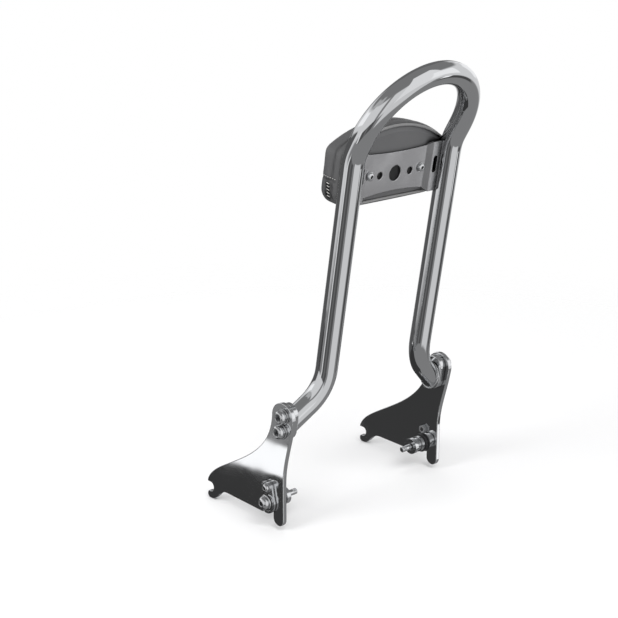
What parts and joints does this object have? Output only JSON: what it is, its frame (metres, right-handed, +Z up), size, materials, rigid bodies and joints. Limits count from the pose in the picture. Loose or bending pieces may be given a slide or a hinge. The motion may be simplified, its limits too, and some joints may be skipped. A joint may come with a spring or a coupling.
{
  "type": "motorbike parts and accessories",
  "caption": "Detachable chrome motorcycle sissy bar: a bent tube hoop on side plates with latches and docking hardware, and a black backrest pad",
  "frame": {"origin": "midway between the two docking bolts, on their common axis", "axes": "+X to the bike's right along the docking bolts' axis, +Y to the bike's front, +Z up"},
  "size_m": [0.3206, 0.2796, 0.5879],
  "materials": {
    "chrome": "bright chrome plating on bent steel tube and forged ears",
    "plate_chrome": "mirror chrome plating on flat steel plate",
    "bolt_chrome": "chrome plated hardware",
    "bracket_chrome": "chrome plating over softly brushed sheet",
    "zinc_steel": "zinc plated steel",
    "black_nylon": "black moulded nylon",
    "panel_vinyl": "smooth black vinyl over a moulded back",
    "board": "plain plywood, hidden inside the pad",
    "pad_leather": "black grained vinyl with piped and stitched seams"
  },
  "bodies": {
    "bar": {"hoop_tube": "chrome", "mount_ear_right": "chrome", "mount_ear_left": "chrome", "side_plate_right": "plate_chrome", "side_plate_left": "plate_chrome", "ear_bolts_right": "bolt_chrome", "ear_bolts_left": "bolt_chrome", "ear_washers_right": "bolt_chrome", "ear_washers_left": "bolt_chrome", "dock_bushing_right": "black_nylon", "dock_bushing_left": "black_nylon", "dock_spacer_right": "bolt_chrome", "dock_spacer_left": "bolt_chrome", "dock_washer_right": "bolt_chrome", "dock_washer_left": "bolt_chrome", "dock_bolt_right": "bolt_chrome", "dock_bolt_left": "bolt_chrome", "latch_pivot_right": "bolt_chrome", "latch_pivot_left": "bolt_chrome", "latch_nut_right": "zinc_steel", "latch_nut_left": "zinc_steel", "latch_thrust_washer_right": "zinc_steel", "latch_thrust_washer_left": "zinc_steel", "latch_disc_spring_right": "zinc_steel", "latch_disc_spring_left": "zinc_steel", "pad_bracket": "bracket_chrome", "pad_bolts": "bolt_chrome", "pad_washers": "bolt_chrome", "pad_back_panel": "panel_vinyl", "pad_board": "board", "pad_tee_nuts": "zinc_steel", "pad_cushion": "pad_leather"},
    "latch_right": {"latch_hook_right": "bolt_chrome"},
    "latch_left": {"latch_hook_left": "bolt_chrome"}
  },
  "joints": [
    {"name": "latch_right_turn", "type": "hinge", "parent": "bar", "child": "latch_right", "pos_m": [0.15, -0.004, 0.022], "axis": [-1, 0, 0], "range_deg": [0, 75]},
    {"name": "latch_left_turn", "type": "hinge", "parent": "bar", "child": "latch_left", "pos_m": [-0.15, -0.004, 0.022], "axis": [-1, 0, 0], "range_deg": [0, 75]}
  ]
}
